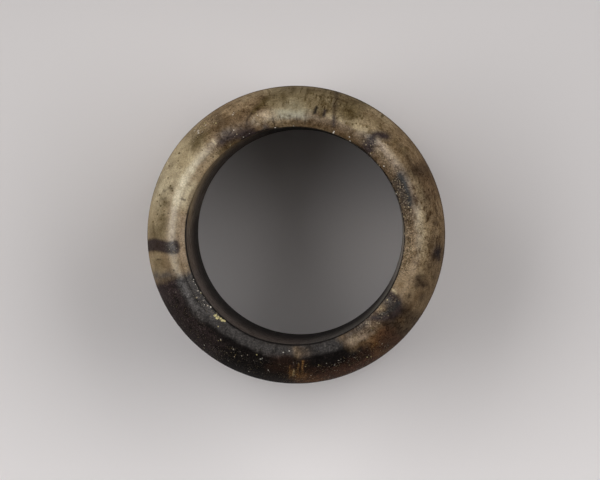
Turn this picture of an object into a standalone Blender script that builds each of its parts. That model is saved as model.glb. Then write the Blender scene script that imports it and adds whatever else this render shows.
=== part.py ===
"""Jade thumb ring: one turned piece of stone that stands on its plain lower end.

Lengths are in millimetres and are scaled to metres where the mesh is made.
The origin is the centre of the lower end, and +Z runs up the axis of the bore.
"""

import math

import bmesh
import bpy

METRES_PER_MM = 0.001

# The whole ring
OUTER_DIAMETER = 31.0
BORE_DIAMETER = 22.3
HEIGHT = 25.5

# Upper end: a narrow lip dips towards the bore and a long shoulder rounds over to the outer wall
LIP_WIDTH = 0.8
LIP_DROP = 0.2
SHOULDER_DEPTH = 7.0

# Lower end: a flat seat between a small lip at the bore and a small rounded heel
HEEL_WIDTH = 1.3
HEEL_HEIGHT = 1.7
FOOT_LIP_WIDTH = 0.8
FOOT_LIP_HEIGHT = 0.3

# How far a lip's elliptic arc turns before the wall of the bore cuts it off in an edge
LIP_SWEEP = math.radians(26)

# Facets
STEPS_AROUND = 96
SHOULDER_STEPS = 16
LIP_STEPS = 4
HEEL_STEPS = 6
FOOT_LIP_STEPS = 4

SMOOTH_UNDER = math.radians(28)

# Look of the stone, mottled grey-green jade under a soft polish
JADE_COLOUR = (0.22, 0.19, 0.13, 1.0)
JADE_ROUGHNESS = 0.3


def lip_arc(edge_radius, crest_radius, crest_z, edge_z, steps):
    """Points from a level crest down, or up, to the edge of the bore, without the crest itself."""
    run = crest_radius - edge_radius
    rise = edge_z - crest_z
    points = []
    for step in range(1, steps + 1):
        turn = LIP_SWEEP * step / steps
        inward = run * math.sin(turn) / math.sin(LIP_SWEEP)
        away = rise * (1 - math.cos(turn)) / (1 - math.cos(LIP_SWEEP))
        points.append((crest_radius - inward, crest_z + away))
    return points


def quarter_ellipse(centre, half_width, half_height, start, end, steps):
    """Points of an ellipse's quarter from the angle start to the angle end, both included."""
    points = []
    for step in range(steps + 1):
        angle = start + (end - start) * step / steps
        radius = centre[0] + half_width * math.cos(angle)
        points.append((radius, centre[1] + half_height * math.sin(angle)))
    return points


def ring_profile():
    """The closed cross-section as (radius, height), from the heel up the outside and down the bore.

    Each rounding keeps to its own half of the wall.
    """
    outer = OUTER_DIAMETER / 2
    bore = BORE_DIAMETER / 2
    half_wall = (outer - bore) / 2
    crest = bore + min(LIP_WIDTH, half_wall)
    seat_inner = bore + min(FOOT_LIP_WIDTH, half_wall)
    heel_width = min(HEEL_WIDTH, half_wall)

    heel = quarter_ellipse(
        (outer - heel_width, HEEL_HEIGHT),
        heel_width,
        HEEL_HEIGHT,
        math.radians(-90),
        0,
        HEEL_STEPS,
    )
    shoulder = quarter_ellipse(
        (crest, HEIGHT - SHOULDER_DEPTH),
        outer - crest,
        SHOULDER_DEPTH,
        0,
        math.radians(90),
        SHOULDER_STEPS,
    )
    lip = lip_arc(bore, crest, HEIGHT, HEIGHT - LIP_DROP, LIP_STEPS)
    foot_lip = lip_arc(bore, seat_inner, 0, FOOT_LIP_HEIGHT, FOOT_LIP_STEPS)
    return heel + shoulder + lip + foot_lip[::-1] + [(seat_inner, 0)]


def spin_around_z(profile, name):
    """A closed mesh made by turning the closed profile once about the Z axis."""
    turned = bmesh.new()
    corners = []
    for radius, height in profile:
        corners.append(turned.verts.new((radius * METRES_PER_MM, 0, height * METRES_PER_MM)))
    edges = []
    for here, following in zip(corners, corners[1:] + corners[:1]):
        edges.append(turned.edges.new((here, following)))
    bmesh.ops.spin(
        turned,
        geom=corners + edges,
        cent=(0, 0, 0),
        axis=(0, 0, 1),
        angle=2 * math.pi,
        steps=STEPS_AROUND,
        use_merge=True,
    )
    bmesh.ops.recalc_face_normals(turned, faces=turned.faces)
    mesh = bpy.data.meshes.new(name)
    turned.to_mesh(mesh)
    turned.free()
    mesh.shade_smooth()
    mesh.set_sharp_from_angle(angle=SMOOTH_UNDER)
    return mesh


def jade():
    """The ring's one material."""
    material = bpy.data.materials.new("jade")
    material.use_nodes = True
    shader = material.node_tree.nodes["Principled BSDF"]
    shader.inputs["Base Color"].default_value = JADE_COLOUR
    shader.inputs["Roughness"].default_value = JADE_ROUGHNESS
    shader.inputs["Metallic"].default_value = 0.0
    return material


def main():
    for old in list(bpy.data.objects):
        bpy.data.objects.remove(old)
    mesh = spin_around_z(ring_profile(), "thumb_ring")
    mesh.materials.append(jade())
    ring = bpy.data.objects.new("thumb_ring", mesh)
    bpy.context.scene.collection.objects.link(ring)


main()
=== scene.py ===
"""Looks of the jade thumb ring: one turned piece of mottled jade that stands on a pale floor.

A place on the stone is given by its bearing, in degrees round the bore from +X towards +Y, and
by its reach, in millimetres outwards from the edge of the bore as seen from above. Below the
shoulder the reach runs on down the outer wall, and down the wall of the bore it is negative.
Sizes of marks are in millimetres of reach, or of arc around the bore.
"""

import copy
import math

import bpy
import numpy as np
from mathutils import Matrix, Vector, noise


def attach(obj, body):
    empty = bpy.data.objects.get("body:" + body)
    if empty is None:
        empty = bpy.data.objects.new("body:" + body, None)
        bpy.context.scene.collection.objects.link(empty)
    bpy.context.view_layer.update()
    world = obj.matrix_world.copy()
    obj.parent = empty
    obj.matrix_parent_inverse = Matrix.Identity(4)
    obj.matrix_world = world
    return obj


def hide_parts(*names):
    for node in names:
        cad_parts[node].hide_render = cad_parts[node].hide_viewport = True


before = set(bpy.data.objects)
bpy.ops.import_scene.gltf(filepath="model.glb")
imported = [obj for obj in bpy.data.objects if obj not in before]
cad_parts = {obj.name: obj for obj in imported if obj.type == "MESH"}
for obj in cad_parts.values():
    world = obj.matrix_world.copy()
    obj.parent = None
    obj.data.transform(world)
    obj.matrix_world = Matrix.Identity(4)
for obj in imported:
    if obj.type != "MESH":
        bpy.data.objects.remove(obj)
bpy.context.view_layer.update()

NODE = "thumb_ring"
MM = 0.001

# Fineness of the visual mesh
AROUND = 800
LIP_STEPS = 16
SHOULDER_STEPS = 60
WALL_STEPS = 12
HEEL_STEPS = 6
SEAT_STEPS = 2
FOOT_LIP_STEPS = 4
BORE_STEPS = 24
BORE_CROWDING = 1.9

# How far a lip's elliptic arc turns before the bore cuts it off, as on the solid
LIP_SWEEP = math.radians(26)

# Stone colours, as linear reflectances
CREAM = (0.52, 0.44, 0.29)
SAND = (0.43, 0.345, 0.21)
BUFF = (0.27, 0.19, 0.108)
HAZEL = (0.185, 0.125, 0.068)
BROWN = (0.115, 0.071, 0.037)
UMBER = (0.045, 0.028, 0.016)
PALE_GREEN = (0.29, 0.24, 0.145)
MIST = (0.38, 0.365, 0.27)
MOSS = (0.19, 0.145, 0.078)
ISLAND = (0.20, 0.145, 0.098)
OLIVE = (0.085, 0.058, 0.022)
ROSE = (0.40, 0.30, 0.215)
RUST = (0.084, 0.037, 0.020)
EMBER = (0.19, 0.095, 0.03)
GOLD = (0.52, 0.40, 0.20)
VIOLET = (0.034, 0.023, 0.022)
LEAD = (0.026, 0.026, 0.026)
SLATE = (0.074, 0.066, 0.062)
GRIT = (0.13, 0.10, 0.075)
PALE_GRAIN = (0.54, 0.47, 0.38)
SOOT = (0.006, 0.0045, 0.004)
TAWNY = (0.030, 0.013, 0.007)
BORE_BROWN = (0.12, 0.092, 0.078)
BORE_GREY = (0.115, 0.105, 0.095)
# BORE_SHADE and BORE_DUSK are painted shade down the bore, BORE_PALE painted light
BORE_SHADE = (0.068, 0.062, 0.060)
BORE_DUSK = (0.15, 0.12, 0.10)
BORE_PALE = (0.34, 0.30, 0.26)
OCHRE = (0.56, 0.48, 0.22)
GLINT_WHITE = (0.75, 0.70, 0.60)

# Reaches that lie beyond the stone either way, for marks that run right through
DEEP = -60
LOW = 90

# How far marks stray sideways on the outer wall, how far down that is at half, and the size of the
# bends that they make there, in mm
WALL_STRAY = 4.5
STRAY_DEPTH = 7
STRAY_BEND = 9.0

# How far the outlines of soft marks, firm marks and the dark bar are pushed about, and the sizes
# of the broad and the small bends in them, in mm, with the small bends' share of the push
SOFT_PUSH = 0.35
FIRM_PUSH = 0.14
BAR_PUSH = 0.10
BROAD_BEND = 2.2
SMALL_BEND = 0.7
SMALL_SHARE = 0.5

# Wear of the surface, as its depth and the size of its hollows, and depths of the pits, in mm
WEAR = ((0.012, 7.0), (0.003, 1.2))
BRIGHT_PIT = 0.03
DARK_PIT = 0.04

# Seeds of the noises that push the marks about and wear the surface, and the noise's shift per seed
SOFT_SEED = 1
FIRM_SEED = 11
SOOT_SEED = 21
WEAR_SEED = 31
BAR_SEED = 41
STRAY_SEED = 51
SEED_STEP = (31.7, 17.3, 7.9)

# Patches of the stone's body, its black part and its bore: colour, first and last bearing, first
# and last reach, softness of the ends in degrees, softness of the sides in mm, strength
BODY_PATCHES = (
    # Broad parts
    (HAZEL, 344, 375, DEEP, LOW, 5, 1, 1.0),
    (BROWN, 14, 33, DEEP, LOW, 4, 1, 0.9),
    (HAZEL, 32, 62, DEEP, LOW, 4, 1, 1.0),
    (MOSS, 50, 92, DEEP, LOW, 6, 1, 0.9),
    (OLIVE, 60, 77, 2.4, LOW, 3, 0.5, 0.42),
    (PALE_GREEN, 88, 103, DEEP, LOW, 4, 1, 0.6),
    (BROWN, 102, 134, DEEP, LOW, 3, 1, 0.85),
    (SAND, 133, 151, DEEP, LOW, 3, 1, 1.0),
    (CREAM, 149, 166, DEEP, LOW, 4, 1, 0.75),
    (SAND, 165, 183, DEEP, LOW, 4, 1, 0.75),
    (BUFF, 182, 202, DEEP, LOW, 4, 1, 0.6),
    (RUST, 298, 318, DEEP, LOW, 3, 1, 1.0),
    (BROWN, 299, 309, 3.6, 4.6, 3, 0.3, 0.35),
    (UMBER, 315, 330, DEEP, LOW, 3, 1, 0.55),
    (HAZEL, 328, 346, DEEP, LOW, 4, 1, 0.9),
    # The lip, browner than the crest
    (UMBER, 355, 376, -0.2, 0.85, 6, 0.2, 0.4),
    (UMBER, 14, 33, -0.2, 0.85, 3, 0.2, 0.35),
    (BROWN, 2, 409, 0.8, 1.5, 4, 0.25, 0.8),
    (BROWN, 33, 62, -0.2, 0.85, 4, 0.25, 0.8),
    (BROWN, 60, 92, -0.2, 0.9, 5, 0.25, 0.85),
    (HAZEL, 90, 101, -0.2, 0.8, 3, 0.2, 0.7),
    (BROWN, 60, 104, -0.2, 0.6, 6, 0.5, 0.35),
    (UMBER, 111, 122, -0.2, 0.75, 2, 0.25, 0.65),
    (VIOLET, 102, 119, -0.3, 0.22, 3, 0.18, 0.9),
    (OLIVE, 120, 135, -0.2, 0.7, 3, 0.25, 0.5),
    (BUFF, 134, 152, -0.2, 0.95, 4, 0.12, 0.8),
    (HAZEL, 128, 170, -0.2, 0.22, 6, 0.15, 0.6),
    (BUFF, 167, 202, -0.2, 0.9, 4, 0.12, 0.8),
    (HAZEL, 168, 202, -0.2, 0.9, 5, 0.12, 0.5),
    (ROSE, 170, 194, -0.2, 0.9, 3, 0.2, 0.3),
    # The crest, paler: partly the stone's own tone, partly a painted highlight
    (SAND, 340, 371, 1.25, 2.55, 4, 0.35, 0.4),
    (SAND, 35, 50, 1.5, 2.1, 4, 0.3, 0.3),
    (SAND, 49, 66, 1.55, 2.7, 5, 0.5, 0.45),
    (MIST, 85, 100, 0.9, 1.9, 5, 0.3, 0.6),
    (SAND, 100, 110.5, 0.9, 1.85, 3, 0.3, 0.6),
    (ROSE, 101, 109, 1.0, 2.0, 3, 0.3, 0.4),
    (OLIVE, 86, 106, 1.9, 2.6, 4, 0.3, 0.2),
    (SAND, 66, 76, 1.2, 1.8, 3, 0.2, 0.4),
    (CREAM, 135, 181, 1.05, 1.8, 4, 0.2, 0.4),
    (ROSE, 158, 184, 1.0, 2.2, 4, 0.3, 0.35),
    (SAND, 137, 156, 2.4, 3.7, 4, 0.4, 0.3),
    (SAND, 136, 146, 2.9, 3.5, 3, 0.2, 0.5),
    (OLIVE, 156, 164, 3.7, 4.6, 3, 0.25, 0.25),
    (CREAM, 158, 170, 2.8, 3.9, 3, 0.4, 0.6),
    (CREAM, 144, 166, 0.95, 1.85, 4, 0.2, 0.9),
    (BUFF, 127, 140, 1.4, 2.5, 4, 0.3, 0.35),
    (CREAM, 144, 156, 1.25, 1.8, 3, 0.2, 0.5),
    (CREAM, 155, 166, 0.6, 1.3, 3, 0.2, 0.4),
    (SAND, 188, 200, 1.0, 1.8, 2, 0.2, 0.4),
    (BUFF, 332, 350, 0.5, 2.3, 3, 0.4, 0.9),
    (BUFF, 334, 354, -0.2, 1.2, 3, 0.3, 0.75),
    (BUFF, 340, 364, 0.15, 1.3, 4, 0.2, 0.5),
    (BUFF, 352, 368, 2.2, 3.6, 4, 0.4, 0.35),
    # The pale island in the black part, browner towards the shoulder
    (BROWN, 292, 317, -0.2, 1.95, 1.5, 0.25, 0.95),
    (ISLAND, 294, 312, 0.35, 1.7, 2.5, 0.3, 0.8),
    (EMBER, 303, 316, 1.7, 2.7, 3, 0.4, 0.25),
    # The rim
    (BROWN, 326, 341, 2.3, 3.2, 4, 0.4, 0.5),
    (UMBER, 318, 328, 3.2, LOW, 3, 0.4, 0.5),
    (BUFF, 47, 60, 3.3, LOW, 3, 0.3, 0.5),
    (SAND, 49, 60, 3.8, 4.6, 4, 0.2, 0.35),
    (BUFF, 36, 46, 3.0, 3.5, 4, 0.2, 0.5),
    (SAND, 67, 76, 2.7, 3.4, 3, 0.2, 0.5),
    (SAND, 187, 197, 2.7, LOW, 2, 0.4, 0.45),
    (MOSS, 84, 102, 2.3, LOW, 4, 0.5, 0.6),
    (BUFF, 106, 133, 2.9, LOW, 3, 0.35, 0.85),
    (SAND, 98, 114, 3.7, 4.6, 3, 0.2, 0.4),
    (SAND, 126, 136, 3.7, 4.6, 3, 0.2, 0.45),
    (BROWN, 133, 139, 3.1, LOW, 3, 0.5, 0.5),
    (UMBER, 330, 361, 3.2, LOW, 6, 0.6, 0.25),
)
SOOT_PATCHES = (
    (VIOLET, 197, 208, 1.9, LOW, 2, 0.3, 0.85),
    (VIOLET, 206, 238, 1.9, LOW, 5, 0.5, 0.5),
    (TAWNY, 257, 276, 1.7, LOW, 3, 0.4, 0.5),
    (TAWNY, 275, 306, 2.5, LOW, 4, 0.5, 0.8),
    (RUST, 269, 284, 3.3, LOW, 3, 0.35, 0.6),
    (RUST, 284, 306, 3.3, LOW, 4, 0.35, 0.6),
    (SOOT, 254, 272, 3.1, 4.3, 4, 0.4, 0.7),
    (SOOT, 284, 302, 1.75, 2.65, 3, 0.2, 0.75),
    # The SLATE rows are a grey film on the black lip and, over the crest, a painted sheen
    (SLATE, 196, 227, -0.2, 0.8, 2, 0.12, 0.6),
    (SLATE, 196, 223, 0.85, 1.7, 4, 0.4, 0.85),
    (SLATE, 223, 275, -0.2, 1.32, 4, 0.28, 0.46),
    (SLATE, 270, 295, -0.2, 1.15, 4, 0.25, 0.42),
    (SOOT, 244, 260, 1.35, 2.3, 4, 0.12, 0.95),
    (SOOT, 287, 302, 1.3, 2.3, 3, 0.25, 0.55),
    (BROWN, 268, 278, 0.1, 1.1, 3, 0.3, 0.35),
)
# Down the bore's wall, painted shade darkens it with depth, least on the upper left (BORE_DUSK), and
# painted light keeps it pale low on the right (BORE_PALE)
BORE_PATCHES = (
    (BORE_BROWN, 168, 419, DEEP, -0.1, 6, 0.1, 0.9),
    (BUFF, 108, 174, DEEP, -0.5, 8, 0.5, 0.8),
    (BORE_SHADE, 56, 116, DEEP, -3.2, 8, 3.2, 1.0),
    (BORE_DUSK, 108, 172, DEEP, -8, 8, 7, 0.9),
    (BORE_PALE, 318, 378, DEEP, -2.5, 12, 2, 0.95),
    (BORE_GREY, 275, 340, DEEP, -1.5, 10, 0.3, 0.7),
    (SOOT, 168, 330, DEEP, -12, 8, 8, 0.75),
    (SOOT, 376, 419, DEEP, -12, 8, 8, 0.75),
    (SOOT, 164, 396, -1.7, 0.10, 8, 0.05, 0.97),
    (SOOT, 322, 420, -1, 0.12, 6, 0.05, 0.85),
)

# Clouds in the stone: colour, bearing, reach, half length around, half length out, strength
BODY_CLOUDS = (
    # Right
    (UMBER, 5, 3.2, 0.3, 0.3, 0.65),
    (UMBER, 1.2, 3.1, 0.25, 0.3, 0.45),
    (UMBER, 358.5, 2.9, 0.3, 0.3, 0.5),
    (UMBER, 356, 2.75, 0.3, 0.25, 0.5),
    (UMBER, 8, 2.7, 0.3, 0.3, 0.5),
    (UMBER, 9.5, 3.6, 0.5, 0.3, 0.5),
    (CREAM, 3.5, 1.65, 0.8, 0.3, 0.25),
    (CREAM, 11, 1.75, 0.6, 0.5, 0.25),
    (UMBER, 12.8, 1.85, 0.2, 0.2, 0.6),
    (UMBER, 16.5, 2.75, 1.1, 0.55, 0.55),
    (LEAD, 22, 0.7, 1.7, 0.6, 0.65),
    # A painted sheen over the dark streak
    (SLATE, 29.2, 1.75, 0.7, 0.45, 0.6),
    (UMBER, 28.5, 2.5, 0.5, 0.35, 0.6),
    (BUFF, 21, 1.85, 1.2, 0.35, 0.4),
    (UMBER, 27, 3.4, 0.7, 0.55, 0.75),
    (UMBER, 29.5, 3.05, 0.8, 0.4, 0.7),
    (LEAD, 28.5, 1.2, 0.6, 0.3, 0.5),
    (ROSE, 37, 1.5, 0.8, 0.3, 0.25),
    (SAND, 45, 1.0, 1.3, 0.25, 0.3),
    (SAND, 54, 2.0, 1.3, 0.35, 0.5),
    (SAND, 20, 2.3, 1.8, 0.4, 0.3),
    (UMBER, 40, 3.0, 0.3, 0.25, 0.6),
    (ROSE, 46.5, 1.55, 0.8, 0.35, 0.6),
    (BUFF, 57, 3.3, 1.5, 0.8, 0.4),
    (BUFF, 55, 2.3, 1.4, 0.5, 0.4),
    # Upper
    (OLIVE, 66.5, 2.75, 0.6, 0.75, 0.95),
    (OLIVE, 69.5, 3.1, 0.5, 0.35, 0.65),
    (OLIVE, 64.3, 2.4, 0.4, 0.35, 0.6),
    (OLIVE, 38, 3.1, 0.45, 0.45, 0.5),
    (OLIVE, 54, 3.2, 0.3, 0.5, 0.35),
    (OLIVE, 83.2, 3.75, 0.3, 0.2, 0.85),
    (OLIVE, 91, 3.9, 0.3, 0.35, 0.85),
    (OLIVE, 94.3, 3.2, 0.25, 0.8, 0.75),
    (OLIVE, 98.5, 3.3, 0.6, 0.7, 0.5),
    (MIST, 90, 2.2, 0.9, 0.4, 0.2),
    (SLATE, 105, 0.35, 0.3, 0.25, 0.6),
    (OLIVE, 102.8, 2.9, 0.55, 0.5, 0.8),
    (OLIVE, 106.5, 2.5, 0.55, 0.35, 0.75),
    (BUFF, 115, 3.3, 1.2, 0.6, 0.55),
    (BUFF, 105, 3.9, 0.8, 0.3, 0.5),
    # A painted sheen over the violet streak
    (SLATE, 123.5, 1.6, 0.8, 0.4, 0.75),
    (BUFF, 119, 1.5, 1.0, 0.3, 0.35),
    (BUFF, 126, 2.1, 1.2, 0.4, 0.45),
    (VIOLET, 119, 0.85, 1.2, 0.45, 0.5),
    (VIOLET, 125, 1.05, 0.7, 0.3, 0.35),
    (VIOLET, 115.5, 0.25, 0.7, 0.4, 0.9),
    (UMBER, 125.5, 2.3, 0.6, 0.5, 0.15),
    (UMBER, 34, 3.0, 0.9, 0.3, 0.45),
    (OLIVE, 43.5, 2.8, 0.35, 0.4, 0.4),
    (UMBER, 123, 3.1, 0.4, 0.6, 0.6),
    # Left
    (OLIVE, 134, 2.85, 1.1, 0.4, 0.85),
    (OLIVE, 137.5, 2.5, 0.7, 0.45, 0.8),
    (SAND, 132, 3.7, 0.9, 0.35, 0.6),
    (EMBER, 130, 3.8, 0.9, 0.25, 0.35),
    (OLIVE, 159.4, 2.45, 0.3, 0.3, 0.65),
    (OLIVE, 165.5, 2.45, 0.45, 0.4, 0.6),
    (OLIVE, 163.8, 3.1, 0.3, 0.2, 0.4),
    (OLIVE, 168.5, 3.3, 0.3, 0.25, 0.35),
    (OLIVE, 171.5, 2.7, 0.45, 0.35, 0.5),
    (OLIVE, 160, 4.1, 0.8, 0.25, 0.35),
    (OLIVE, 150, 3.3, 0.4, 0.3, 0.4),
    (OLIVE, 153.5, 2.4, 0.25, 0.25, 0.2),
    (OLIVE, 176.5, 2.4, 1.1, 0.5, 0.6),
    (OLIVE, 179.5, 3.3, 1.0, 0.8, 0.7),
    (SAND, 174, 1.05, 1.6, 0.2, 0.35),
    (OLIVE, 191, 3.0, 0.9, 0.8, 0.4),
    (SLATE, 197.5, 2.7, 0.45, 0.7, 0.8),
    (SLATE, 196, 3.9, 0.5, 0.6, 0.8),
    # Lower right
    (SLATE, 308, 0.3, 1.1, 0.28, 0.75),
    (SLATE, 299, 0.15, 0.8, 0.2, 0.5),
    (SAND, 299.5, 0.8, 0.5, 0.35, 0.25),
    (UMBER, 308.7, 1.15, 0.25, 0.2, 0.7),
    (HAZEL, 303, 2.05, 0.9, 0.3, 0.6),
    (EMBER, 306.5, 2.5, 0.45, 0.4, 0.6),
    (EMBER, 302.5, 3.6, 0.9, 0.5, 0.5),
    (UMBER, 311, 3.4, 1.0, 0.6, 0.55),
    (VIOLET, 322, 1.95, 1.2, 0.5, 1.0),
    (UMBER, 321.5, 2.1, 1.1, 0.5, 0.9),
    (VIOLET, 325.3, 1.25, 0.85, 0.7, 0.95),
    (SLATE, 327.2, 0.6, 0.62, 0.6, 0.95),
    (LEAD, 321.5, 1.15, 0.9, 0.25, 0.5),
    (UMBER, 320, 2.5, 1.0, 0.25, 0.6),
    (UMBER, 324.5, 2.9, 0.6, 0.9, 0.75),
    (UMBER, 318, 3.1, 0.5, 0.9, 0.7),
    (BROWN, 321, 2.7, 0.25, 0.5, 0.7),
    (BUFF, 319.8, 0.5, 0.4, 0.3, 0.9),
    (UMBER, 337.6, 2.2, 0.32, 0.26, 1.0),
    (UMBER, 340.8, 2.15, 0.28, 0.24, 0.95),
    (UMBER, 339.2, 2.45, 0.36, 0.3, 0.9),
    (UMBER, 338.7, 2.85, 0.28, 0.32, 1.0),
    (UMBER, 342.3, 2.6, 0.22, 0.2, 0.6),
    (BUFF, 334, 2.0, 0.8, 0.35, 0.6),
    (UMBER, 332.6, 1.95, 0.3, 0.16, 0.9),
    (UMBER, 333.3, 3.4, 0.35, 0.25, 0.7),
    (UMBER, 343.5, 3.6, 0.35, 0.25, 0.5),
    (UMBER, 347, 3.0, 0.5, 0.3, 0.4),
    (VIOLET, 353.2, 3.6, 0.75, 0.50, 1.0),
    (SOOT, 353.2, 3.7, 0.45, 0.3, 0.6),
)
SOOT_CLOUDS = (
    (EMBER, 268.7, 2.95, 0.3, 0.3, 0.6),
    (EMBER, 272, 3.4, 0.8, 0.45, 0.45),
    (EMBER, 278, 3.9, 1.0, 0.25, 0.35),
    (BROWN, 271.5, 0.8, 0.4, 0.4, 0.6),
    (TAWNY, 264, 1.3, 1.0, 0.3, 0.5),
)

# Streaks and veins: colour, half width, strength, then the (bearing, reach) that they run through
BODY_STREAKS = (
    (VIOLET, 0.50, 1.0, ((49.4, 0.0), (50.2, 0.5))),
    (VIOLET, 0.56, 1.0, ((50.4, 0.6), (51.5, 1.4))),
    (VIOLET, 0.26, 0.95, ((51.7, 1.5), (52.1, 1.95), (51.1, 2.25), (49.3, 2.4))),
    (VIOLET, 0.36, 1.0, ((48.8, 2.4), (47.4, 2.6))),
    (LEAD, 0.24, 0.95, ((30, 1.2), (25, 1.25), (20, 1.2), (15, 1.05))),
    (LEAD, 0.14, 0.5, ((28.5, 0.1), (28.5, 0.9))),
    (BROWN, 0.08, 0.7, ((347.8, 1.1), (347.3, 1.5), (347, 2.15))),
    (UMBER, 0.20, 0.7, ((70.4, 0.9), (71.2, 1.6), (72.6, 2.7))),
    (UMBER, 0.26, 0.7, ((73.0, 2.8), (74.0, 4.2))),
    (VIOLET, 0.17, 0.6, ((70.3, 0.75), (71.5, 1.6))),
    (VIOLET, 0.17, 1.0, ((76.4, 1.55), (76.0, 2.1))),
    (SOOT, 0.17, 1.0, ((80.6, 1.55), (80.3, 2.15))),
    (SOOT, 0.09, 0.9, ((99, 0.03), (104, 0.06), (109, 0.1), (114, 0.05), (119, 0.1))),
    (OLIVE, 0.14, 0.6, ((77.4, 1.2), (78.0, 2.6), (78.6, 4.0))),
    (OLIVE, 0.12, 0.5, ((75.0, 2.3), (75.8, 3.9))),
    (OLIVE, 0.07, 0.7, ((79.5, 2.6), (79.2, 3.6))),
    (OLIVE, 0.08, 0.6, ((86.0, 2.7), (85.4, 4.0))),
    (UMBER, 0.06, 0.7, ((84.6, 0.3), (84.8, 0.9))),
    (UMBER, 0.05, 0.6, ((87.4, 0.65), (87.5, 1.0))),
    (UMBER, 0.06, 0.7, ((89.0, 0.7), (89.0, 1.1))),
    (UMBER, 0.05, 0.6, ((90.6, 0.6), (90.7, 1.05))),
    (UMBER, 0.06, 0.7, ((92.3, 0.7), (92.3, 1.15))),
    (UMBER, 0.06, 0.6, ((96.6, 0.1), (97.0, 0.75))),
    (UMBER, 0.07, 0.8, ((100.3, 0.2), (100.6, 1.0))),
    (UMBER, 0.07, 0.4, ((100.6, 1.0), (100.8, 2.2))),
    (OLIVE, 0.16, 0.85, ((101.5, 3.3), (105, 2.6), (109.5, 2.2))),
    (UMBER, 0.10, 0.9, ((109.5, 2.2), (112, 1.75), (113.6, 1.2), (114, 0.8))),
    (VIOLET, 0.33, 0.9, ((113, 0.2), (117, 0.45), (120.5, 0.65), (124, 0.85), (127.5, 1.0))),
    (VIOLET, 0.14, 0.5, ((122, 1.2), (124.5, 1.75))),
    (SAND, 0.07, 0.7, ((130.5, 1.3), (130, 1.75))),
    (CREAM, 0.05, 0.6, ((155.2, 1.25), (156, 1.7))),
    (OLIVE, 0.05, 0.6, ((136, 0.5), (136.3, 1.0))),
    (OLIVE, 0.05, 0.6, ((139.5, 0.4), (139.8, 0.95))),
    (OLIVE, 0.05, 0.5, ((149, 0.5), (149.2, 0.95))),
    (OLIVE, 0.05, 0.5, ((154, 0.6), (154.1, 0.95))),
    (UMBER, 0.09, 0.85, ((162, 0.65), (162.2, 1.05))),
    (UMBER, 0.06, 0.5, ((166, 2.4), (164.5, 3.0))),
    (UMBER, 0.07, 0.7, ((159.4, 2.35), (159.4, 2.7))),
    (UMBER, 0.10, 0.6, ((160.9, 2.95), (161.5, 3.05))),
    (UMBER, 0.10, 0.5, ((163.8, 2.6), (164.2, 2.7))),
    (UMBER, 0.10, 0.5, ((166.9, 3.2), (167.3, 3.1))),
    (UMBER, 0.09, 0.5, ((170.6, 2.45), (171.0, 2.55))),
    (UMBER, 0.07, 0.85, ((190, 2.85), (190, 3.3))),
    (BROWN, 0.05, 0.4, ((158, 0.98), (181, 0.98))),
    (BROWN, 0.05, 0.4, ((188.5, 0.80), (199, 0.82))),
    (VIOLET, 0.26, 1.0, ((313.6, 0.5), (315.6, 1.0), (318.4, 1.55), (321.5, 1.95))),
    (VIOLET, 0.30, 1.0, ((328.2, 0.0), (328, 0.8), (326.6, 1.4), (324, 1.9))),
    (SAND, 0.10, 0.75, ((331, -0.1), (331.2, 0.5), (330.6, 0.8))),
    (LEAD, 0.20, 0.75, ((327, 1.5), (323, 1.4), (319.5, 1.05), (316.5, 0.7))),
)
SOOT_STREAKS = (
    (SOOT, 0.06, 0.8, ((198, 0.83), (206, 0.83), (213, 0.85), (221, 0.82))),
    (UMBER, 0.05, 0.6, ((227.5, -0.1), (227.7, 0.45))),
    (HAZEL, 0.22, 0.4, ((270.6, 0.4), (271.2, 1.1))),
    (EMBER, 0.06, 0.8, ((273.7, 1.6), (273.0, 2.9))),
    (EMBER, 0.05, 0.7, ((271.6, 1.9), (271.0, 3.2))),
    (EMBER, 0.05, 0.6, ((268.0, 2.2), (267.6, 3.6))),
    (GOLD, 0.04, 0.5, ((269.6, 2.6), (269.3, 3.3))),
)

# The black part of the ring, as a patch without a colour, and the pale island that cuts into it:
# its half width, the places that it runs through, and its softness in mm
SOOT_PART = (199, 304, DEEP, LOW, 4.0, 1.0)
SOOT_ISLAND = (1.1, ((299, 0.1), (300, 1.0), (307, 1.45)), 1.1)

# The dark bar beside the black part, as half widths and the places that it runs through, and the
# painted highlight where the crest's sheen crosses it, as a cloud
BAR = (
    (0.28, ((183.5, 0.98), (187.1, 0.98))),
    (0.63, ((185.4, 1.25), (185.2, 1.95), (184.2, 2.7), (183.7, 3.3), (184.1, 4.05), (184.3, 16))),
)
BAR_SOFTNESS = 0.2
BAR_STRENGTH = 0.95
BAR_SHEEN = (SLATE, 185.3, 1.5, 0.5, 0.45, 0.9)

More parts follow.
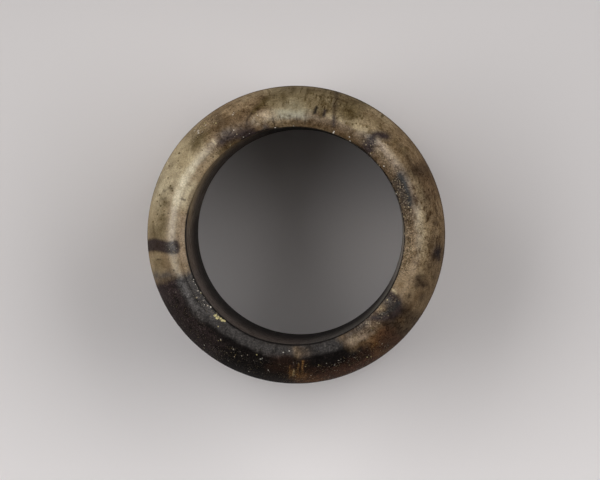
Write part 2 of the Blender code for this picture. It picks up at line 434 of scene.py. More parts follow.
# Small marks: bearing, reach, half width. The dark ones bleed into the stone by a share of theirs
DARK_BLEED = 0.25
DARK_SPOTS = (
    (77.3, 2.75, 0.08), (80, 3.3, 0.06), (83.2, 2.15, 0.06), (144.7, 3.5, 0.09), (142.5, 3.5, 0.05),
    (163.4, 3.45, 0.08), (165.6, 2.69, 0.07), (137.2, 1.75, 0.06), (136.5, 0.65, 0.06),
    (140.2, 0.85, 0.05), (310, 1.18, 0.10), (65.4, 1.5, 0.10), (62.6, 1.7, 0.10), (61.5, 2.85, 0.11),
    (60.2, 2.7, 0.10), (62.4, 2.55, 0.09), (56.4, 2.2, 0.09), (61.3, 1.95, 0.08), (54, 4.1, 0.13),
    (45, 0.7, 0.06), (43, 0.45, 0.06), (47, 0.4, 0.07), (41.5, 0.8, 0.05), (343.3, 3.55, 0.08),
    (352, 0.5, 0.07), (354.5, 0.7, 0.06), (350, 0.35, 0.06), (357, 0.55, 0.06), (7, 0.6, 0.06),
    (10, 0.35, 0.06), (347, 0.9, 0.05), (336, 2.0, 0.06), (346, 1.9, 0.05), (352.5, 0.45, 0.07),
    (350.6, 0.5, 0.07), (348.9, 0.42, 0.06), (347.1, 0.55, 0.07), (345.4, 0.48, 0.06), (343.8, 0.55, 0.06),
    (354.3, 0.62, 0.06), (356, 0.48, 0.06), (158.2, 2.6, 0.09), (159.8, 2.2, 0.08), (167.6, 3.0, 0.08),
    (169.4, 2.5, 0.07), (171.2, 3.2, 0.08), (166.2, 3.5, 0.07), (173.1, 2.7, 0.07), (147.4, 3.1, 0.06),
    (151.2, 3.7, 0.07), (149.8, 2.5, 0.05), (155.6, 3.2, 0.07), (131.4, 0.75, 0.06), (133.2, 0.5, 0.06),
    (134.6, 0.9, 0.06), (143.1, 0.6, 0.05), (146, 0.45, 0.05), (174.6, 3.6, 0.07),
)
# The glints are painted highlights: small white spots on little chips in the stone
GLINTS = (
    (59.7, 0.03, 0.07), (61, 0.38, 0.06), (38, 0.4, 0.06), (69.4, 0.08, 0.075), (69.3, 0.22, 0.06),
    (22.5, 0.04, 0.05), (46, -0.02, 0.05), (90.6, 0.03, 0.05), (100.2, 0.03, 0.07), (211, 0.02, 0.05),
    (220.3, 0.10, 0.065), (214, 0.0, 0.05), (217.5, 0.46, 0.045), (206, 0.15, 0.04), (203.5, 0.1, 0.04),
    (234.3, 1.9, 0.05), (240.9, 1.93, 0.045), (254.5, 1.95, 0.07), (255.1, 1.85, 0.05),
    (264.4, 0.82, 0.065), (267.2, 0.62, 0.05), (290.5, 1.12, 0.05), (251, 3.7, 0.05), (258.8, 2.95, 0.05),
    (230.3, 3.55, 0.045), (133.4, 3.36, 0.075), (117.3, 2.85, 0.05), (114, 0.25, 0.04), (117.5, 0.2, 0.04),
    (287, 2.75, 0.05), (286.4, 3.3, 0.05), (289.5, 2.4, 0.05), (284, 2.3, 0.04),
)
PALE_SPOTS = (
    (129.1, 3.5, 0.07), (132.9, 3.55, 0.10), (133.9, 3.85, 0.07),
    (117.2, 2.8, 0.07), (116.4, 2.95, 0.06), (107.0, 1.7, 0.05), (204.4, 0.2, 0.05), (209.6, 0.2, 0.05),
    (241.8, 2.1, 0.06), (246.2, 2.35, 0.06), (248.5, 2.0, 0.05),
)
GOLDEN_SPOTS = (
    (225.2, 0.34, 0.16), (226.7, 0.34, 0.17), (228.2, 0.22, 0.10), (229.4, 0.20, 0.14), (230.5, 0.12, 0.11),
    (229.9, 0.98, 0.06), (252.3, 1.63, 0.08), (233.8, 2.15, 0.06), (211.3, 0.05, 0.06), (129, 3.75, 0.07),
    (125, 2.95, 0.06), (131, 3.55, 0.05), (281, 2.4, 0.055), (280.3, 2.3, 0.04), (300.6, 3.4, 0.06),
    (302, 3.6, 0.05), (268.9, 2.85, 0.06), (269.6, 3.1, 0.05), (105.6, 0.1, 0.05), (107.4, 1.9, 0.05),
    (320, 0.35, 0.06),
)
BRIGHT_SPOTS = {"glints": GLINTS, "golden": GOLDEN_SPOTS, "pale": PALE_SPOTS}

# Where fine dark pricks and pale grains are dense: first and last bearing, first and last reach,
# softnesses, density
PRICKED = (
    (338, 390, -0.1, 1.1, 5, 0.2, 1.0),
    (30, 58, -0.1, 1.7, 5, 0.3, 0.5),
    (60, 100, -0.1, 0.9, 6, 0.2, 0.2),
    (118, 145, -0.1, 0.95, 4, 0.2, 0.25),
    (168, 200, -0.1, 0.9, 4, 0.2, 0.2),
    (300, 330, -0.1, 1.3, 3, 0.3, 0.3),
    (124, 136, 2.9, 4.2, 3, 0.3, 0.7),
)
# Where short radial dashes are dense, in the same order
DASHED = (
    (64, 104, 0.35, 1.2, 4, 0.15, 0.8),
    (68, 84, 1.1, 4.2, 3, 0.3, 1.0),
    (84, 104, 2.3, 4.2, 4, 0.3, 0.9),
    (58, 68, 2.0, 4.2, 3, 0.3, 0.6),
)
# Where the stone's own mottling is faint, in the same order
CALM = (
    (134, 184, -0.2, 4.3, 4, 0.3, 0.5),
    (186, 199, -0.2, 4.3, 3, 0.3, 0.5),
    (84, 101, 0.9, 4.3, 5, 0.4, 0.4),
    (328, 347, 0.3, 4.3, 5, 0.4, 0.4),
)
# Where fine bright flecks are dense, in the same order
FLECKED = (
    (195, 226, -0.1, 0.85, 3, 0.15, 0.9),
    (223, 290, -0.1, 1.1, 3, 0.15, 0.12),
    (204, 235, 1.7, 4.1, 4, 0.3, 0.4),
    (230, 262, 1.9, 4.1, 4, 0.2, 0.65),
    (262, 306, 3.1, 4.6, 3, 0.4, 1.0),
    (277, 312, 2.3, 4.3, 3, 0.3, 0.9),
    (262, 277, 1.8, 4.3, 4, 0.4, 0.8),
    (125, 139, 2.9, 4.3, 3, 0.3, 1.0),
    (14, 30, -0.1, 1.15, 3, 0.2, 0.8),
    (302, 331, -0.1, 1.5, 3, 0.2, 0.5),
    # On the dark bar's crest the flecks are part of its painted highlight
    (182, 188.5, 1.0, 2.0, 1, 0.2, 0.9),
    (116, 128, 0.9, 1.7, 3, 0.3, 0.4),
)
# Where dark stains are dense, in the same order
STAINED = (
    (330, 392, 1.2, 4.3, 8, 0.5, 0.9),
    (296, 330, -0.2, 4.3, 4, 0.5, 0.8),
    (32, 100, 2.0, 4.3, 8, 0.6, 0.5),
    (100, 140, -0.2, 4.3, 4, 0.4, 0.7),
    (140, 200, 2.0, 4.3, 8, 0.5, 0.5),
    (0, 359.9, 4.0, LOW, 1, 1, 0.5),
)
DENSITIES = {
    "pricked": PRICKED,
    "dashed": DASHED,
    "calm": CALM,
    "flecked": FLECKED,
    "stained": STAINED,
}

# Where the wax polish is thinner, in the same order, with the share that is gone
DULLED = (
    (325, 408, -0.2, 4.3, 8, 0.5, 0.45),
    (218, 300, 1.15, 4.3, 5, 0.25, 0.6),
    (244, 262, 1.15, 2.4, 4, 0.2, 0.95),
    (130, 184, 1.75, 4.3, 4, 0.35, 0.5),
    (84, 110, 1.75, 4.3, 5, 0.35, 0.5),
    (57, 68, 1.2, 2.2, 4, 0.3, 0.65),
    (112, 132, -0.2, 4.3, 4, 0.5, 0.3),
    (182.5, 188, -0.2, 4.3, 1, 0.5, 0.3),
)

# The stone's own noises: features per mm, detail, roughness and distortion. The fibre is drawn
# out by its factors along each axis, and the dashes by theirs along the reach
NOISES = {
    "blotch": (0.55, 3.0, 0.55, 0.6),
    "mottle": (1.5, 3.0, 0.55, 0.7),
    "stain": (2.3, 4.0, 0.6, 0.8),
    "fibre": (3.6, 4.0, 0.6, 0.3),
    "fine": (6.0, 3.0, 0.65, 0.0),
    "grit": (7.5, 2.0, 0.6, 0.8),
}
DASH_NOISE = (5.0, 2.0, 0.5, 0.3)
FIBRE_DRAW = (1.0, 0.3, 0.3)
DASH_DRAW = 0.22

# How the noises tint the stone: the noise, its values where the tint starts and is at its most,
# that most, and the factors of the tint
MOTTLING = (
    ("blotch", 0.48, 0.68, 0.6, (0.58, 0.52, 0.42)),
    ("mottle", 0.5, 0.68, 0.8, (0.52, 0.46, 0.36)),
    ("mottle", 0.48, 0.3, 1.0, (1.35, 1.38, 1.40)),
    ("fibre", 0.5, 0.66, 0.5, (0.62, 0.57, 0.50)),
)

# Grain of the black part's shoulder, its dark mottling, and the fine grain of the whole stone:
# the noise, its values where the grain starts and is at its most, and its factor. The fine grain
# is less by the calmed share where the mottling is faint
SHOULDER_GRAIN = (("fibre", 0.52, 0.7, 1.9), ("fine", 0.52, 0.66, 1.8))
SOOT_MOTTLING = (("mottle", 0.48, 0.66, 0.5),)
STONE_GRAIN = (("fine", 0.4, 0.64, 1.26), ("fine", 0.6, 0.36, 0.76))
CALMED = 0.6

# Values of a noise, the reach or the light where something starts and is at its most, and its
# strengths there if they aren't 0 and 1
STAIN_RANGE = (0.68, 0.80, 0, 0.9)
DASH_RANGE = (0.56, 0.68)
PIT_RANGE = (0.52, 0.38)
GRAIN_RANGE = (0.54, 0.66)
SHOULDER_RANGE = (1.1, 1.9, 0.4, 1)
CLUSTER_RANGE = (0.46, 0.60, 0.2, 1)
SPARK_RANGE = (0.615, 0.67)
SPARK_TINT_RANGE = (0.44, 0.56)
GRANULE_RANGE = (0.56, 0.42)
CREST_START = (0.75, 1.1)
CREST_END = (2.2, 1.5)
WAX_START = (0.1, 1.2, 0.3, 1)
WAX_END = (1.5, 2.7, 1, 0)
WAX_BY_LIGHT = (0.005, 0.16, 0.38, 1)
WAX_BY_MOTTLE = (0.7, 0.4, 0.6, 1)

# The painted shade along the dark edge of the outer wall: reaches from the wall's top between which it
# comes up, and between which it fades, with its strengths before and after that
EDGE_START = (-0.2, -0.02)
EDGE_END = (0.5, 5)
EDGE_STRENGTHS = (0.9, 0.25)

# How much dense stains add to their noise, factors that a colour is multiplied by, and strengths
STAIN_PUSH = 0.19
STAIN_FACTOR = (0.36, 0.29, 0.24)
DASH_FACTOR = (0.40, 0.34, 0.22)
PIT_FACTOR = 0.4
EDGE_FACTOR = (0.36, 0.30, 0.24)
# The crest's factor paints a highlight on it
CREST_FACTOR = 1.08
GRANULE_FACTOR = 0.45
DARK_STRENGTH = 0.9
SPARK_STRENGTH = 0.8

# Uneven edges of masks: the noise that breaks them up, how far it pushes them, their softness
EDGES = {
    "dark": ("fine", 1.1, 0.2),
    "soot": ("fibre", 0.5, 0.4),
    "golden": ("grit", 1.2, 0.2),
    "pale": ("grit", 1.2, 0.25),
    "glints": ("fine", 0.5, 0.25),
}

# Flecks: cells per mm, where they are dense, the most cells that hold one, radius in cells, and
# for all but the gold ones strength and colour. Each is solid up to the core's share of its radius
FLECK_CORE = 0.4
FLECK_STRENGTHS = (0.35, 1)
FLECKS = (
    (3.6, "pricked", 0.6, 0.46, 0.85, UMBER),
    (4.4, "pricked", 0.35, 0.42, 0.7, SAND),
    (1.7, "stained", 0.4, 0.22, 0.8, UMBER),
)
GOLD_FLECKS = (3.7, "flecked", 0.03, 0.34)

# A dull stone, with a wax polish on the crest where hands have rubbed the paler parts
STONE_ROUGHNESS = 0.8
STONE_SPECULAR = 0.05
WAX_ROUGHNESS = 0.36
WAX_IOR = 1.6
BUMP_STRENGTH = 0.5
BUMP_DEPTH = 0.02 * MM

# Camera, solved from the circles that the ring draws in the photograph
LENS_MM = 212.3
SENSOR_MM = 36.0
CAMERA_DISTANCE = 361.4 * MM
CAMERA_TILT = math.radians(1.661)
CAMERA_BEARING = math.radians(37.6)
AIM_OFFSET = (0.543 * MM, -0.430 * MM)
CLIP_START = 10 * MM

# Floor paper: its colour north and south of the ring, painted darker to the north and lighter to the
# south as painted light, how far from the middle the change ends, and half its width in metres
PAPER_NORTH = (0.63, 0.602, 0.598, 1)
PAPER_SOUTH = (0.87, 0.832, 0.826, 1)
PAPER_CHANGE = 26 * MM
PAPER_ROUGHNESS = 0.9
PAPER_HALF = 3.0

# Softboxes: name, bearing and elevation in degrees, distance, length and width in metres, power
# in watts. After them, the grey of the dark studio
SOFTBOXES = (
    ("softbox_left", 163, 46, 0.6, 0.60, 0.50, 2.58),
    ("softbox_right", 21, 44, 0.6, 0.60, 0.50, 2.52),
    ("softbox_overhead", 90, 87, 0.6, 0.60, 0.40, 0.22),
    ("softbox_small", 90, 76, 0.6, 0.20, 0.15, 0.085),
)
STUDIO_GREY = (0.004, 0.004, 0.004, 1)


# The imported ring's main sizes
def measure_ring():
    """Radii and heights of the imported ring's edges, in metres."""
    corners = np.array([vertex.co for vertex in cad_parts[NODE].data.vertices])
    radius = np.hypot(corners[:, 0], corners[:, 1])
    height = corners[:, 2]
    near = 0.005 * MM
    at_bore = radius < radius.min() + near
    at_wall = radius > radius.max() - near
    at_crest = height > height.max() - near
    at_seat = height < height.min() + near
    return {
        "bore": radius.min(),
        "outer": radius.max(),
        "top": height.max(),
        "foot": height.min(),
        "crest": radius[at_crest].mean(),
        "edge": height[at_bore].max(),
        "foot_edge": height[at_bore].min(),
        "shoulder": height[at_wall].max(),
        "heel": height[at_wall].min(),
        "seat_inner": radius[at_seat].min(),
        "seat_outer": radius[at_seat].max(),
    }


RING = measure_ring()
WALL_REACH = (RING["outer"] - RING["bore"]) / MM


# The cross-section
def lip_arc(crest_radius, crest_z, edge_z, steps):
    """Points from the edge of the bore to a level crest, or to the flat seat, without the last."""
    points = []
    for step in range(steps, 0, -1):
        turn = LIP_SWEEP * step / steps
        inward = (crest_radius - RING["bore"]) * math.sin(turn) / math.sin(LIP_SWEEP)
        away = (edge_z - crest_z) * (1 - math.cos(turn)) / (1 - math.cos(LIP_SWEEP))
        points.append((crest_radius - inward, crest_z + away))
    return points


def quarter(centre, corner, start, end, steps):
    """Points of the ellipse's quarter that fills a box from its centre to a corner, without the last."""
    points = []
    for step in range(steps):
        angle = math.radians(start + (end - start) * step / steps)
        radius = centre[0] + (corner[0] - centre[0]) * math.cos(angle)
        points.append((radius, centre[1] + (corner[1] - centre[1]) * math.sin(angle)))
    return points


def straight(start, end, steps, crowding=1.0):
    """Points of a straight run without the last, crowded towards the end when crowding is over 1."""
    points = []
    for step in range(steps):
        share = 1 - (1 - step / steps) ** crowding
        radius = start[0] + (end[0] - start[0]) * share
        points.append((radius, start[1] + (end[1] - start[1]) * share))
    return points


def cross_section():
    """The closed section from the edge of the bore over the crest, down the wall and up the bore."""
    lip = lip_arc(RING["crest"], RING["top"], RING["edge"], LIP_STEPS)
    centre = (RING["crest"], RING["shoulder"])
    shoulder = quarter(centre, (RING["outer"], RING["top"]), 90, 0, SHOULDER_STEPS)
    wall = straight((RING["outer"], RING["shoulder"]), (RING["outer"], RING["heel"]), WALL_STEPS)
    centre = (RING["seat_outer"], RING["heel"])
    heel = quarter(centre, (RING["outer"], RING["foot"]), 0, 90, HEEL_STEPS)
    seat = straight((RING["seat_outer"], RING["foot"]), (RING["seat_inner"], RING["foot"]), SEAT_STEPS)
    foot_lip = lip_arc(RING["seat_inner"], RING["foot"], RING["foot_edge"], FOOT_LIP_STEPS)
    foot_lip = [(RING["seat_inner"], RING["foot"])] + foot_lip[:0:-1]
    edge = (RING["bore"], RING["edge"])
    bore = straight((RING["bore"], RING["foot_edge"]), edge, BORE_STEPS, BORE_CROWDING)
    return np.array(lip + shoulder + wall + heel + seat + foot_lip + bore)


def reaches(section):
    """Reach of each point of the section."""
    steps = np.hypot(*np.diff(section, axis=0).T) / MM
    reach = (section[:, 0] - RING["bore"]) / MM
    wall = LIP_STEPS + SHOULDER_STEPS
    reach[wall + 1:] = WALL_REACH + np.cumsum(steps[wall:])
    reach[-BORE_STEPS:] = (section[-BORE_STEPS:, 1] - RING["edge"]) / MM
    return reach


def normals_of(section):
    """Outward unit normals of the closed section."""
    along = np.roll(section, -1, axis=0) - np.roll(section, 1, axis=0)
    out = np.column_stack((-along[:, 1], along[:, 0]))
    return out / np.hypot(*out.T)[:, None]


class Surface:
    """Where each vertex of the turned surface lies, in the terms that the marks are given in."""

    def __init__(self, section):
        count = len(section)
        turn = np.repeat(np.linspace(0, 2 * np.pi, AROUND, endpoint=False), count)
        self.bearing = np.degrees(turn)
        self.reach = np.tile(reaches(section), AROUND)
        radius = np.tile(section[:, 0], AROUND) / MM
        flat = np.column_stack((np.cos(turn), np.sin(turn)))
        height = np.tile(section[:, 1], AROUND) / MM
        self.radius = radius
        self.places = np.column_stack((radius[:, None] * flat, height))
        normal = np.tile(normals_of(section), (AROUND, 1))
        self.normals = np.column_stack((normal[:, :1] * flat, normal[:, 1]))
        begun = side(self.reach - WALL_REACH - STRAY_DEPTH, STRAY_DEPTH)
        self.stray = WALL_STRAY * begun * wander(self.places, STRAY_BEND, STRAY_SEED)

    def pushed(self, push, seed):
        """How far each vertex is pushed one way, in mm."""
        small = SMALL_SHARE * push * wander(self.places, SMALL_BEND, seed + 1)
        return push * wander(self.places, BROAD_BEND, seed) + small

    def bent(self, push, seed):
        """The same surface with its coordinates pushed about, so that marks get uneven outlines."""
        moved = copy.copy(self)
        around = self.pushed(push, seed) + self.stray
        moved.bearing = self.bearing + np.degrees(around / self.radius)
        moved.reach = self.reach + self.pushed(push, seed + 2)
        return moved

    def offset(self, bearing, reach):
        """How far every vertex lies around and outwards from a place, in mm."""
        turn = (self.bearing - bearing + 180) % 360 - 180
        return np.radians(turn) * self.radius, self.reach - reach


def wander(places, cell, seed):
    """Smooth noise between about -1 and 1 at each place, with features of about the cell's size."""
    shift = Vector([seed * step for step in SEED_STEP])
    return np.array([noise.noise(Vector(place) / cell + shift) for place in places])


# Shapes of marks, each 1 inside and 0 outside
def bell(distance):
    """1 at no distance, a half at 1 and soon 0 beyond."""
    return np.exp(-math.log(2) * distance ** 2)


def side(inside, softness):
    """0 to 1 as the distance inside passes from minus the softness to the softness."""
    share = np.clip(inside / softness / 2 + 0.5, 0, 1)
    return share * share * (3 - 2 * share)


def patch(surface, first, last, inner, outer, soft_ends, soft_sides):
    """A stretch between two bearings and two reaches."""
    turn = np.abs((surface.bearing - (first + last) / 2 + 180) % 360 - 180)
    around = side((last - first) / 2 - turn, soft_ends)
    return around * side(surface.reach - inner, soft_sides) * side(outer - surface.reach, soft_sides)


def cloud(surface, bearing, reach, half_around, half_out):
    """An oval without an edge."""
    around, out = surface.offset(bearing, reach)
    return bell(np.hypot(around / half_around, out / half_out))


def from_line(surface, places):
    """Distance in mm from the line through (bearing, reach) places."""
    nearest = np.full(len(surface.bearing), np.inf)
    for (bearing, reach), (next_bearing, next_reach) in zip(places, places[1:]):
        x, y = surface.offset(bearing, reach)
        far_x = np.radians(next_bearing - bearing) * surface.radius
        far_y = next_reach - reach
        share = np.clip((x * far_x + y * far_y) / (far_x ** 2 + far_y ** 2), 0, 1)
        nearest = np.minimum(nearest, np.hypot(x - share * far_x, y - share * far_y))
    return nearest


def spots(surface, marks, bleed=0.0):
    """Round spots at (bearing, reach, half width), each wider by the bleed's share."""
    mask = np.zeros(len(surface.bearing))
    for bearing, reach, half_width in marks:
        half = half_width * (1 + bleed)
        mask = np.maximum(mask, cloud(surface, bearing, reach, half, half))
    return mask


def densest(surface, patches):
    """The strongest of several patches, each given with its strength."""
    mask = np.zeros(len(surface.bearing))
    for *extent, strength in patches:
        mask = np.maximum(mask, strength * patch(surface, *extent))
    return mask


# Paint
def laid(colour, tint, share):
    return colour + (np.array(tint) - colour) * share[:, None]


def painted(surface, ground, patches, clouds, streaks):
    """The ground colour with patches, clouds and streaks laid over it in turn, then the bore's own."""
    colour = np.tile(np.array(ground), (len(surface.bearing), 1))
    soft = surface.bent(SOFT_PUSH, SOFT_SEED)
    firm = surface.bent(FIRM_PUSH, FIRM_SEED)
    for tint, *extent, strength in patches:
        colour = laid(colour, tint, strength * patch(soft, *extent))
    for tint, *extent, strength in clouds:
        colour = laid(colour, tint, strength * cloud(soft, *extent))
    for tint, half_width, strength, places in streaks:
        colour = laid(colour, tint, strength * bell(from_line(firm, places) / half_width))
    for tint, *extent, strength in BORE_PATCHES:
        colour = laid(colour, tint, strength * patch(surface, *extent))
    return colour


def body_colour(surface):
    colour = painted(surface, BUFF, BODY_PATCHES, BODY_CLOUDS, BODY_STREAKS)
    moved = surface.bent(BAR_PUSH, BAR_SEED)
    for half_width, places in BAR:
        share = side(half_width - from_line(moved, places), BAR_SOFTNESS)
        colour = laid(colour, VIOLET, BAR_STRENGTH * share)
    # Painted highlight where the crest's sheen crosses the bar
    tint, *extent, strength = BAR_SHEEN
    return laid(colour, tint, strength * cloud(moved, *extent))


def soot_colour(surface):
    return painted(surface, SOOT, SOOT_PATCHES, SOOT_CLOUDS, SOOT_STREAKS)


def soot_share(surface):
    """A half on the outline of the blackened parts, 1 well inside and 0 well outside."""
    moved = surface.bent(FIRM_PUSH, SOOT_SEED)
    share = patch(moved, *SOOT_PART)
    half_width, places, softness = SOOT_ISLAND
    return np.minimum(share, side(from_line(moved, places) - half_width, softness))


# Relief
def relief(surface):
    """How far each vertex is worn back into the stone, in mm."""
    worn = np.zeros(len(surface.bearing))
    for number, (depth, size) in enumerate(WEAR):
        worn += depth * (1 + wander(surface.places, size, WEAR_SEED + number))
    worn += BRIGHT_PIT * spots(surface, GLINTS + GOLDEN_SPOTS + PALE_SPOTS)
    return worn + DARK_PIT * spots(surface, DARK_SPOTS, DARK_BLEED)


# Objects and the ring's mesh
def added(name, data):
    """A new object in the scene."""
    made = bpy.data.objects.new(name, data)
    bpy.context.scene.collection.objects.link(made)
    return made


def add_values(mesh, name, values):
    mesh.attributes.new(name, "FLOAT", "POINT").data.foreach_set("value", values)


def add_colours(mesh, name, colours):
    rows = np.column_stack((colours, np.ones(len(colours)))).ravel()
    mesh.attributes.new(name, "FLOAT_COLOR", "POINT").data.foreach_set("color", rows)


def add_map(mesh, across, along, count):
    """The stone unrolled: round the ring to the right, and once round the section upwards."""
    u = np.stack((across, across, across + 1, across + 1), axis=-1) / AROUND
    v = np.stack((along, along + 1, along + 1, along), axis=-1) / count
    mesh.uv_layers.new(name="OFBake").data.foreach_set("uv", np.stack((u, v), axis=-1).ravel())


def make_ring():
    section = cross_section()
    surface = Surface(section)
    count = len(section)
    across, along = np.meshgrid(np.arange(AROUND), np.arange(count), indexing="ij")
    right = (across + 1) % AROUND
    below = (along + 1) % count
    corners = (across * count + along, across * count + below, right * count + below, right * count + along)
    faces = np.stack(corners, axis=-1).reshape(-1, 4)
    places = surface.places - relief(surface)[:, None] * surface.normals
    mesh = bpy.data.meshes.new("jade_ring")
    mesh.from_pydata((places * MM).tolist(), [], faces.tolist())
    mesh.shade_smooth()
    add_colours(mesh, "body_colour", body_colour(surface))
    add_colours(mesh, "soot_colour", soot_colour(surface))
    add_values(mesh, "soot", soot_share(surface))
    add_values(mesh, "reach", surface.reach)
    add_values(mesh, "around", np.radians(surface.bearing) * RING["bore"] / MM)
    add_values(mesh, "polish", 1 - densest(surface, DULLED))
    add_values(mesh, "dark", spots(surface, DARK_SPOTS, DARK_BLEED))
    for name, patches in DENSITIES.items():
        add_values(mesh, name, densest(surface, patches))
    for name, marks in BRIGHT_SPOTS.items():
        add_values(mesh, name, spots(surface, marks))
    add_map(mesh, across, along, count)
    return added("jade_ring", mesh)


# Materials
def add_node(tree, kind, inputs=(), **settings):
    """A shader node with its settings, and its inputs as (name or number, value or socket) pairs."""
    made = tree.nodes.new(kind)
    for name, value in settings.items():
        setattr(made, name, value)
    for key, value in inputs:
        if isinstance(value, bpy.types.NodeSocket):
            tree.links.new(value, made.inputs[key])
        else:
            made.inputs[key].default_value = value
    return made


def value_of(tree, name):
    return add_node(tree, "ShaderNodeAttribute", attribute_name=name).outputs["Fac"]


def colour_of(tree, name):
    return add_node(tree, "ShaderNodeAttribute", attribute_name=name).outputs["Color"]


def math_node(tree, operation, *values):
    return add_node(tree, "ShaderNodeMath", enumerate(values), operation=operation).outputs[0]


def product(tree, first, *others):
    result = first
    for other in others:
        result = math_node(tree, "MULTIPLY", result, other)
    return result


def grain(tree, place, per_mm, detail, roughness, distortion):
    inputs = (
        ("Vector", place),
        ("Scale", per_mm),
        ("Detail", detail),
        ("Roughness", roughness),
        ("Distortion", distortion),
    )
    return add_node(tree, "ShaderNodeTexNoise", inputs).outputs["Fac"]


def ramp(tree, value, low, high, to_low=0.0, to_high=1.0):
    """The value brought from low..high to to_low..to_high with a smooth start and end."""
    limits = (("From Min", low), ("From Max", high), ("To Min", to_low), ("To Max", to_high))
    inputs = (("Value", value), *limits)
    return add_node(tree, "ShaderNodeMapRange", inputs, interpolation_type="SMOOTHSTEP").outputs[0]


def mix(tree, share, under, over, blend="MIX"):
    inputs = ((0, share), (6, under), (7, over))
    return add_node(tree, "ShaderNodeMix", inputs, data_type="RGBA", blend_type=blend).outputs[2]


def shaded(tree, share, colour, factor):
    """The colour times the factor, a colour or one number, where the share is 1."""
    tint = (*factor, 1) if isinstance(factor, tuple) else (factor, factor, factor, 1)
    return mix(tree, share, colour, tint, "MULTIPLY")


def ragged(tree, noises, name):
    """The mask of that name cut at a half, with an edge that a noise breaks up."""
    breakup, unevenness, softness = EDGES[name]
    pushed = math_node(tree, "MULTIPLY_ADD", noises[breakup], unevenness, value_of(tree, name))
    middle = 0.5 + unevenness / 2
    return ramp(tree, pushed, middle - softness, middle + softness)


def flecks(tree, place, per_mm, density, most, radius):
    """Round flecks of uneven strength in a share of the cells that follows the density."""
    cells = add_node(tree, "ShaderNodeTexVoronoi", (("Vector", place), ("Scale", per_mm)))
    picks = add_node(tree, "ShaderNodeSeparateColor", ((0, cells.outputs["Color"]),)).outputs
    chosen = math_node(tree, "LESS_THAN", picks[0], product(tree, value_of(tree, density), most))
    near = ramp(tree, cells.outputs["Distance"], radius, FLECK_CORE * radius)
    return product(tree, chosen, near, ramp(tree, picks[1], 0, 1, *FLECK_STRENGTHS))


def stone_noises(tree, place):
    """The stone's own noises by name."""
    axes = ((0, place), (1, FIBRE_DRAW))
    drawn = add_node(tree, "ShaderNodeVectorMath", axes, operation="MULTIPLY").outputs[0]
    noises = {}
    for name, settings in NOISES.items():
        noises[name] = grain(tree, drawn if name == "fibre" else place, *settings)
    return noises


def dashes(tree):
    """Short radial dashes, from a noise on the unrolled surface."""
    drawn = product(tree, value_of(tree, "reach"), DASH_DRAW)
    axes = ((0, value_of(tree, "around")), (1, drawn))
    unrolled = add_node(tree, "ShaderNodeCombineXYZ", axes).outputs[0]
    marks = ramp(tree, grain(tree, unrolled, *DASH_NOISE), *DASH_RANGE)
    return product(tree, marks, value_of(tree, "dashed"))


def grained(tree, noises, colour, grains, *shares):
    """The colour with grains of it tinted, as far as the shares allow."""
    for name, start, full, factor in grains:
        mask = product(tree, ramp(tree, noises[name], start, full), *shares)
        colour = shaded(tree, mask, colour, factor)
    return colour


def stone_colour(tree, place, noises):
    """The painted body with its own mottling, stains, dashes, pits, grains and dark spots."""
    paint = colour_of(tree, "body_colour")
    colour = paint
    for name, start, full, most, factors in MOTTLING:
        colour = shaded(tree, ramp(tree, noises[name], start, full, 0, most), colour, factors)
    pushed = math_node(tree, "MULTIPLY_ADD", value_of(tree, "stained"), STAIN_PUSH, noises["stain"])
    colour = shaded(tree, ramp(tree, pushed, *STAIN_RANGE), colour, STAIN_FACTOR)
    colour = mix(tree, value_of(tree, "calm"), colour, paint)
    colour = shaded(tree, dashes(tree), colour, DASH_FACTOR)
    pricked = value_of(tree, "pricked")
    pits = product(tree, ramp(tree, noises["grit"], *PIT_RANGE), pricked)
    colour = shaded(tree, pits, colour, PIT_FACTOR)
    grains = product(tree, ramp(tree, noises["grit"], *GRAIN_RANGE), pricked)
    colour = mix(tree, grains, colour, (*GRIT, 1), "ADD")
    for *cells, strength, tint in FLECKS:
        marks = product(tree, flecks(tree, place, *cells), strength)
        colour = mix(tree, marks, colour, (*tint, 1))
    dark = product(tree, ragged(tree, noises, "dark"), DARK_STRENGTH)
    return mix(tree, dark, colour, (*OLIVE, 1))


def black_colour(tree, noises):
    """The painted black part, with most of its grain on the shoulder."""
    rough = ramp(tree, value_of(tree, "reach"), *SHOULDER_RANGE)
    black = grained(tree, noises, colour_of(tree, "soot_colour"), SHOULDER_GRAIN, rough)
    return grained(tree, noises, black, SOOT_MOTTLING)


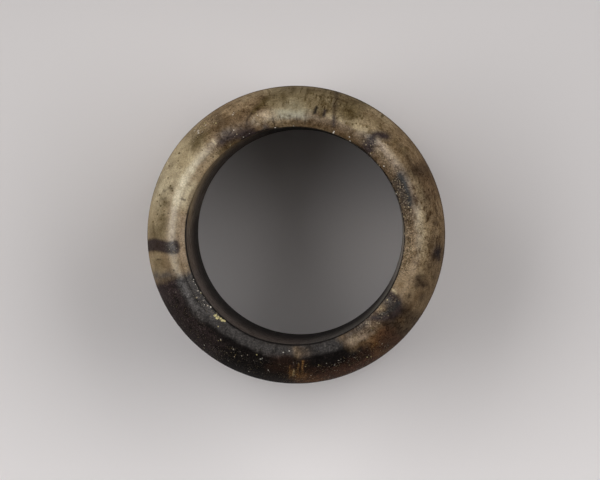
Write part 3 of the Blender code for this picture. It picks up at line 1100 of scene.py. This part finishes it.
def jade_colour(tree, place, noises):
    """The colour of the whole stone: body and black part, then fine grain, sparks and bright spots, with
    painted shade at the outer wall's edge, a painted highlight on the crest and painted glints.
    """
    soot = ragged(tree, noises, "soot")
    colour = mix(tree, soot, stone_colour(tree, place, noises), black_colour(tree, noises))
    lively = math_node(tree, "MULTIPLY_ADD", value_of(tree, "calm"), -CALMED, 1.0)
    colour = grained(tree, noises, colour, STONE_GRAIN, lively)
    # Painted shade along the outer wall's edge
    colour = shaded(tree, edge_shade(tree), colour, EDGE_FACTOR)
    clusters = product(tree, ramp(tree, noises["mottle"], *CLUSTER_RANGE), value_of(tree, "flecked"))
    sparks = product(tree, ramp(tree, noises["grit"], *SPARK_RANGE), clusters, SPARK_STRENGTH)
    tint = mix(tree, ramp(tree, noises["fibre"], *SPARK_TINT_RANGE), (*GOLD, 1), (*PALE_GRAIN, 1))
    colour = mix(tree, sparks, colour, tint)
    # Painted highlight: the crest is painted paler
    colour = shaded(tree, crest_highlight(tree), colour, CREST_FACTOR)
    colour = mix(tree, flecks(tree, place, *GOLD_FLECKS), colour, tint)
    granules = ramp(tree, noises["grit"], *GRANULE_RANGE)
    golden = shaded(tree, granules, (*OCHRE, 1), GRANULE_FACTOR)
    colour = mix(tree, ragged(tree, noises, "golden"), colour, golden)
    colour = mix(tree, ragged(tree, noises, "pale"), colour, (*PALE_GRAIN, 1))
    # Painted highlights: the glints as small white spots
    return mix(tree, ragged(tree, noises, "glints"), colour, (*GLINT_WHITE, 1))


def crest_highlight(tree):
    """The crest, painted paler as a painted highlight."""
    reach = value_of(tree, "reach")
    return product(tree, ramp(tree, reach, *CREST_START), ramp(tree, reach, *CREST_END))


def edge_shade(tree):
    """Painted shade: darkening where the shoulder turns into the outer wall, which fades on the way down.
    """
    reach = value_of(tree, "reach")
    start = [WALL_REACH + below for below in EDGE_START]
    end = [WALL_REACH + below for below in EDGE_END]
    return product(tree, ramp(tree, reach, *start), ramp(tree, reach, *end, *EDGE_STRENGTHS))


def wax(tree, colour, mottle):
    """How thick the wax polish is: most on the crest, on pale stone and where it isn't dulled."""
    reach = value_of(tree, "reach")
    light = add_node(tree, "ShaderNodeRGBToBW", ((0, colour),)).outputs[0]
    return product(
        tree,
        ramp(tree, reach, *WAX_START),
        ramp(tree, reach, *WAX_END),
        ramp(tree, light, *WAX_BY_LIGHT),
        ramp(tree, mottle, *WAX_BY_MOTTLE),
        value_of(tree, "polish"),
    )


def jade_material():
    material = bpy.data.materials.new("jade")
    material.use_nodes = True
    tree = material.node_tree
    shader = tree.nodes["Principled BSDF"]
    scaling = ((0, add_node(tree, "ShaderNodeTexCoord").outputs["Object"]), ("Scale", 1 / MM))
    place = add_node(tree, "ShaderNodeVectorMath", scaling, operation="SCALE").outputs[0]
    noises = stone_noises(tree, place)
    colour = jade_colour(tree, place, noises)
    tree.links.new(colour, shader.inputs["Base Color"])
    shader.inputs["Roughness"].default_value = STONE_ROUGHNESS
    shader.inputs["Specular IOR Level"].default_value = STONE_SPECULAR
    shader.inputs["Coat Roughness"].default_value = WAX_ROUGHNESS
    shader.inputs["Coat IOR"].default_value = WAX_IOR
    tree.links.new(wax(tree, colour, noises["mottle"]), shader.inputs["Coat Weight"])
    settings = (("Strength", BUMP_STRENGTH), ("Distance", BUMP_DEPTH), ("Height", noises["fine"]))
    bump = add_node(tree, "ShaderNodeBump", settings).outputs[0]
    tree.links.new(bump, shader.inputs["Normal"])
    tree.links.new(bump, shader.inputs["Coat Normal"])
    return material


def paper_material():
    material = bpy.data.materials.new("floor_paper")
    material.use_nodes = True
    tree = material.node_tree
    shader = tree.nodes["Principled BSDF"]
    place = add_node(tree, "ShaderNodeTexCoord").outputs["Object"]
    # Painted light: the paper is lighter towards the south
    north = add_node(tree, "ShaderNodeSeparateXYZ", ((0, place),)).outputs[1]
    limits = (("Value", north), ("From Min", PAPER_CHANGE), ("From Max", -PAPER_CHANGE))
    south = add_node(tree, "ShaderNodeMapRange", limits).outputs[0]
    tree.links.new(mix(tree, south, PAPER_NORTH, PAPER_SOUTH), shader.inputs["Base Color"])
    shader.inputs["Roughness"].default_value = PAPER_ROUGHNESS
    return material


# Studio
def make_floor():
    half = PAPER_HALF
    corners = [(-half, -half, 0), (half, -half, 0), (half, half, 0), (-half, half, 0)]
    mesh = bpy.data.meshes.new("floor")
    mesh.from_pydata(corners, [], [(0, 1, 2, 3)])
    mesh.materials.append(paper_material())
    floor = added("floor", mesh)


def make_camera():
    data = bpy.data.cameras.new("camera")
    data.lens = LENS_MM
    data.sensor_width = SENSOR_MM
    data.clip_start = CLIP_START
    camera = added("camera", data)
    aim = Vector((AIM_OFFSET[0], AIM_OFFSET[1], RING["edge"]))
    level = math.sin(CAMERA_TILT)
    back = Vector(
        (level * math.cos(CAMERA_BEARING), level * math.sin(CAMERA_BEARING), math.cos(CAMERA_TILT))
    )
    right = Vector((0, 1, 0)).cross(back).normalized()
    turn = Matrix((right, back.cross(right), back)).transposed().to_4x4()
    camera.matrix_world = Matrix.Translation(aim + CAMERA_DISTANCE * back) @ turn
    bpy.context.scene.camera = camera


def make_softbox(name, bearing, elevation, distance, length, width, power):
    """A rectangular softbox that faces the ring, with its length level."""
    data = bpy.data.lights.new(name, "AREA")
    data.shape = "RECTANGLE"
    data.size = length
    data.size_y = width
    data.energy = power
    light = added(name, data)
    turn, rise = math.radians(bearing), math.radians(elevation)
    out = Vector((math.cos(turn) * math.cos(rise), math.sin(turn) * math.cos(rise), math.sin(rise)))
    light.location = out * distance
    light.rotation_euler = out.to_track_quat("Z", "Y").to_euler()
    light.visible_camera = False


def make_world():
    world = bpy.data.worlds.new("studio")
    world.use_nodes = True
    world.node_tree.nodes["Background"].inputs["Color"].default_value = STUDIO_GREY
    bpy.context.scene.world = world
    bpy.context.scene.view_settings.view_transform = "Standard"


ring = make_ring()
ring.data.materials.append(jade_material())
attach(ring, "root")
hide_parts(NODE)
make_floor()
make_camera()
for softbox in SOFTBOXES:
    make_softbox(*softbox)
make_world()
